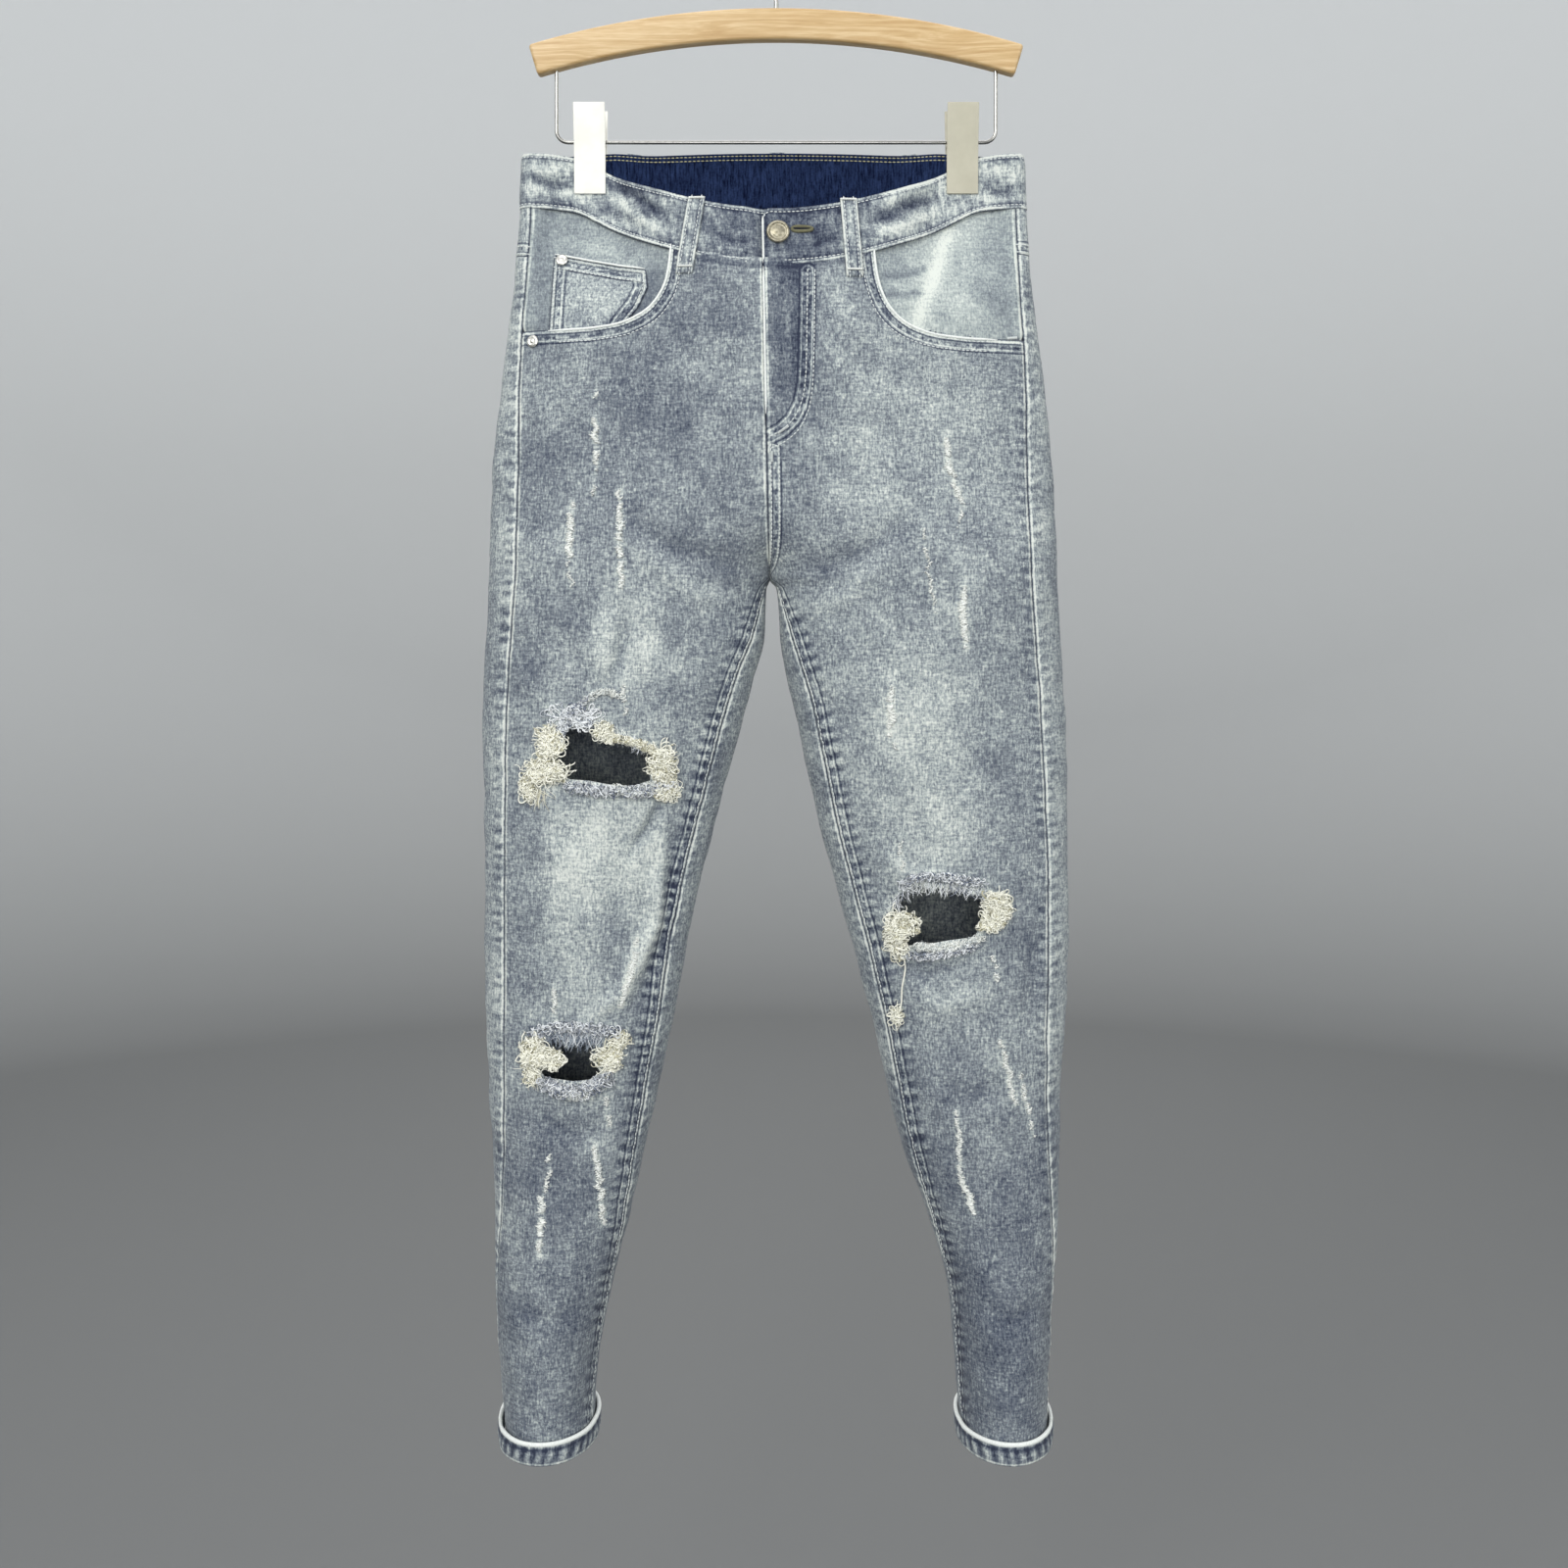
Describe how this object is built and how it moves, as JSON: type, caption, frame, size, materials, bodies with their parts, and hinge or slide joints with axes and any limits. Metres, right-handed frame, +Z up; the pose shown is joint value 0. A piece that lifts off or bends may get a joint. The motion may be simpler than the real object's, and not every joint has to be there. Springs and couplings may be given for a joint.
{
  "type": "ripped jeans on a clip hanger",
  "caption": "Tapered denim jeans with ripped, frayed knees and thigh, hung by the waistband from a wooden clip hanger.",
  "frame": {"origin": "the inside top of the hook, where it bears on a rail", "axes": "+Z up, -Y towards the front of the jeans, +X towards the wearer's left"},
  "size_m": [0.4452, 0.1113, 1.1639],
  "materials": {
    "denim": "faded grey-blue twill",
    "facing": "bleached twill",
    "button": "antique, dull",
    "steel": "satin",
    "wood": "clear satin"
  },
  "bodies": {
    "root": {"front_right_upper": "denim", "front_right_lower": "denim", "front_left_upper": "denim", "front_left_lower": "denim", "back_right_upper": "denim", "back_right_lower": "denim", "back_left_upper": "denim", "back_left_lower": "denim", "yoke_right": "denim", "yoke_left": "denim", "waistband": "denim", "cuff_right": "denim", "cuff_left": "denim", "back_pocket_right": "denim", "back_pocket_left": "denim", "belt_loop_front_right": "denim", "belt_loop_front_left": "denim", "belt_loop_back_right": "denim", "belt_loop_back_left": "denim", "belt_loop_back_centre": "denim", "pocket_facing_right": "facing", "pocket_facing_left": "facing", "coin_pocket": "facing", "button": "button", "rivet_pocket": "steel", "rivet_coin_pocket": "steel", "hanger_bar": "wood", "hanger_wire": "steel", "hanger_hook": "steel", "clip_front_jaw_right": "steel", "clip_back_jaw_right": "steel", "clip_barrel_right": "steel", "clip_front_jaw_left": "steel", "clip_back_jaw_left": "steel", "clip_barrel_left": "steel"}
  },
  "joints": []
}
